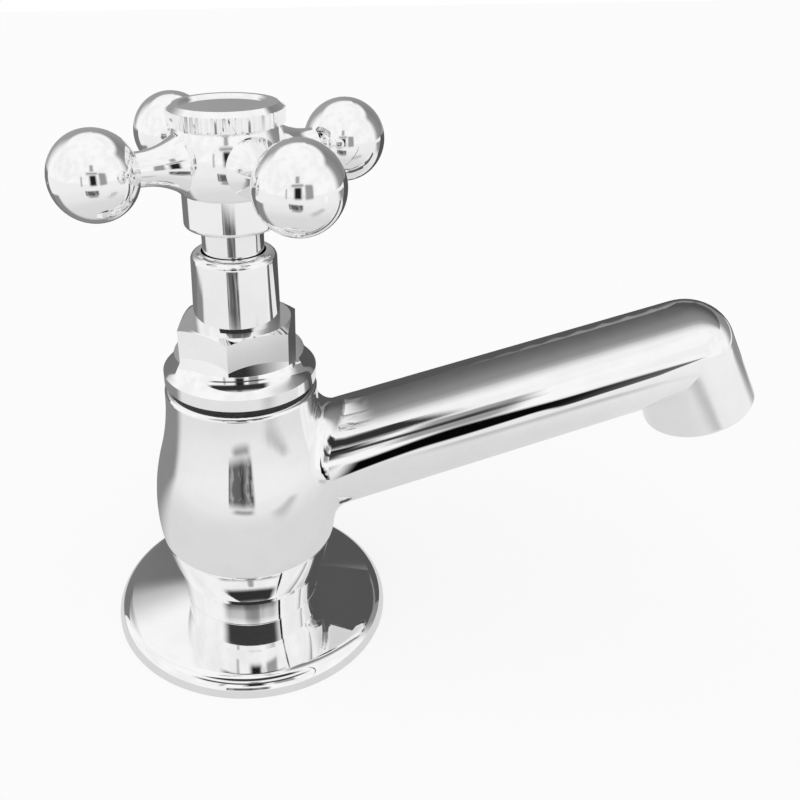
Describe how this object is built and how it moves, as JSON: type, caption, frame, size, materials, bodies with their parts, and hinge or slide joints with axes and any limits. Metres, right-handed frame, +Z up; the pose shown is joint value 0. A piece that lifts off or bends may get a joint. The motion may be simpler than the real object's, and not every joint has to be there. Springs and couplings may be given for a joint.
{
  "type": "cross handle tap",
  "caption": "Deck-mounted pillar tap with an urn-shaped body, a long rising spout with a down-turned nozzle, and a cross handle with ball ends on a rising spindle.",
  "frame": {"origin": "on the tap's axis, in the plane of the deck that the cover flange stands on", "axes": "+Z up along the tap's axis, +X along the spout seen from above, +Y to the left of the spout"},
  "size_m": [0.1485, 0.064, 0.1668],
  "materials": {
    "chrome": "polished chrome plate",
    "bright_metal": "polished chrome-plated brass",
    "brass": "machined brass",
    "steel": "stainless steel",
    "rubber": "matt black rubber",
    "fibre": "red fibre",
    "white_plastic": "moulded plastic"
  },
  "bodies": {
    "tap": {"tap_body": "chrome", "base_flange": "chrome", "bonnet": "chrome", "flange_gasket": "rubber", "tail_shank": "brass", "tail_joint_ring": "fibre", "deck_washer": "rubber", "clamp_washer": "steel", "back_nut": "brass", "valve_seat": "brass", "bonnet_gasket": "rubber", "outlet_straightener": "white_plastic", "outlet_gasket": "rubber"},
    "valve": {"jumper": "brass", "jumper_washer": "rubber", "jumper_nut": "brass", "jumper_clip": "steel"},
    "handle": {"cross_handle": "chrome", "index_cap": "chrome", "handle_screw": "steel", "handle_screw_washer": "steel", "spindle": "bright_metal", "spindle_o_rings": "rubber"}
  },
  "joints": [
    {"name": "spindle_rise", "type": "slide", "parent": "tap", "child": "valve", "axis": [0, 0, 1], "range_m": [0, 0.005]},
    {"name": "handle_turn", "type": "hinge", "parent": "valve", "child": "handle", "pos_m": [0, 0, 0.1071], "axis": [0, 0, 1], "range_deg": [0, 900]}
  ],
  "couplings": [
    {"joint": "spindle_rise", "follows": "handle_turn", "m_per_rad": 0.00031831}
  ]
}
